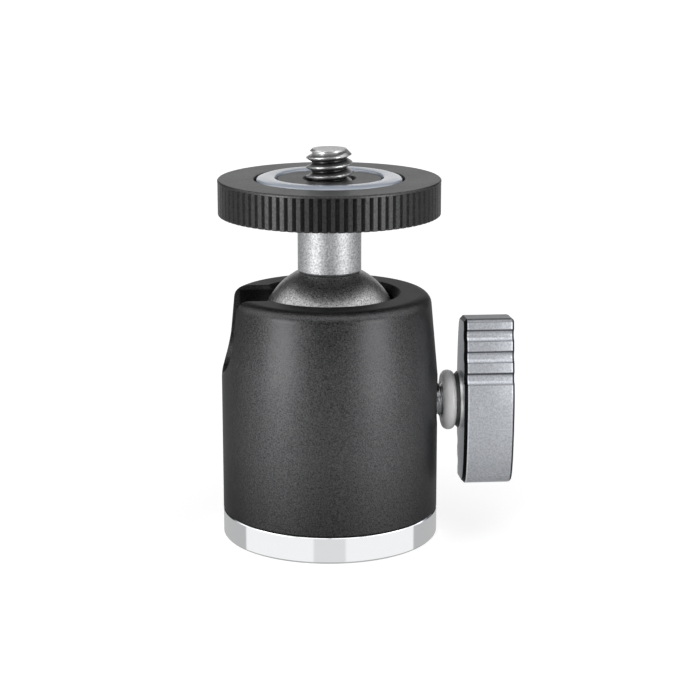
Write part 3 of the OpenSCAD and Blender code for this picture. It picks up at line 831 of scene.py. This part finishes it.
def makeWorld(v):
    world = bpy.data.worlds.new("paleStudio")
    bpy.context.scene.world = world
    world.cycles.sampling_method = "NONE"
    world.use_nodes = True
    tree = world.node_tree
    background = tree.nodes["Background"]
    x, y, z = placeNode(tree, "Generated")
    turn = turnFromFront(tree, x, y)
    # the table, from the front to far behind
    first, second, third = [radians(edge) for edge in v["sectorEdges"]]
    soft, backSoft = v["sectorSoft"], v["backSoft"]
    table = mapNode(tree, turn, first - soft, first + soft, v["tableFront"], v["tableSides"])
    table = mapNode(tree, turn, second - soft, second + soft, table, v["tableBehind"])
    table = mapNode(tree, z, *v["lowBand"], mathNode(tree, "MULTIPLY", table, v["tableLow"]), table)
    table = mapNode(tree, z, *v["gapBand"], table, v["tableGap"])
    back = mapNode(tree, z, *v["backBand"], v["tableBehind"], v["tableBack"])
    table = mapNode(tree, turn, third - backSoft, third + backSoft, table, back)
    # the wall and the sky above it
    wallFrom, wallTo = [radians(edge) for edge in v["wallTurn"]]
    wall = mapNode(tree, turn, wallFrom, wallTo, v["wallFront"], v["wallBack"], "SMOOTHSTEP")
    inFrom, inTo, outFrom, outTo = [radians(edge) for edge in v["darkCorner"][:4]]
    wall = mapNode(tree, turn, inFrom, inTo, wall, v["darkCorner"][4], "SMOOTHSTEP")
    wall = mapNode(tree, turn, outFrom, outTo, wall, v["wallBack"], "SMOOTHSTEP")
    sky = mapNode(tree, z, *v["horizon"], table, wall)
    sky = mapNode(tree, z, *v["skyBand"], sky, v["skyTop"], "SMOOTHSTEP")
    turnSoft, liftSoft = v["windowSoft"]
    for left, right, low, high, strength in v["windows"]:
        aside = windowNode(tree, turn, radians(left), radians(right), turnSoft)
        window = mathNode(tree, "MULTIPLY", aside, windowNode(tree, z, low, high, liftSoft))
        sky = mathNode(tree, "ADD", sky, mathNode(tree, "MULTIPLY", window, strength))
    # gloss sees all this, the camera and clear paths see white, and the rest is lit evenly
    path = tree.nodes.new("ShaderNodeLightPath")
    level = mixNode(tree, path.outputs["Is Glossy Ray"], v["worldLight"], sky)
    clear = mathNode(tree, "MAXIMUM", path.outputs["Is Camera Ray"], path.outputs["Is Transmission Ray"])
    tree.links.new(mixNode(tree, clear, level, 1.0), background.inputs["Strength"])
    background.inputs["Color"].default_value = (1, 1, 1, 1)


def makeSoftboxes(v):
    aim = Vector((0, 0, v["aimHeight"]))
    for name, (turn, lift, distance, width, height, power) in v["boxes"].items():
        turn, lift = radians(turn) + frontTurn, radians(lift)
        light = bpy.data.lights.new(name, "AREA")
        light.shape = "RECTANGLE"
        light.size, light.size_y, light.energy = width, height, power
        lamp = bpy.data.objects.new(name, light)
        bpy.context.collection.objects.link(lamp)
        direction = Vector((np.sin(turn) * np.cos(lift), -np.cos(turn) * np.cos(lift), np.sin(lift)))
        lamp.location = aim + direction * distance
        lamp.rotation_mode = "QUATERNION"
        lamp.rotation_quaternion = direction.to_track_quat("Z", "Y")
        lamp.visible_camera = False


photoCamera = {"place": (-18.08, -264.94, 90.72), "direction": (0.0762, 0.9682, -0.2381),
               "lens": 103.04, "sensor": 36, "clip": (0.01, 20)}


def makeCamera(v):
    camera = bpy.data.cameras.new("camera")
    camera.lens, camera.sensor_width = v["lens"], v["sensor"]
    camera.clip_start, camera.clip_end = v["clip"]
    eye = bpy.data.objects.new("camera", camera)
    bpy.context.collection.objects.link(eye)
    eye.location = Vector(v["place"]) * mm
    eye.rotation_mode = "QUATERNION"
    eye.rotation_quaternion = Vector(v["direction"]).to_track_quat("-Z", "Y")
    bpy.context.scene.camera = eye


makeFloor(studio)
makeWorld(studio)
makeSoftboxes(studio)
makeCamera(photoCamera)
bpy.context.scene.view_settings.view_transform = "Standard"
print("floor, light and camera are set")

bpy.context.view_layer.update()
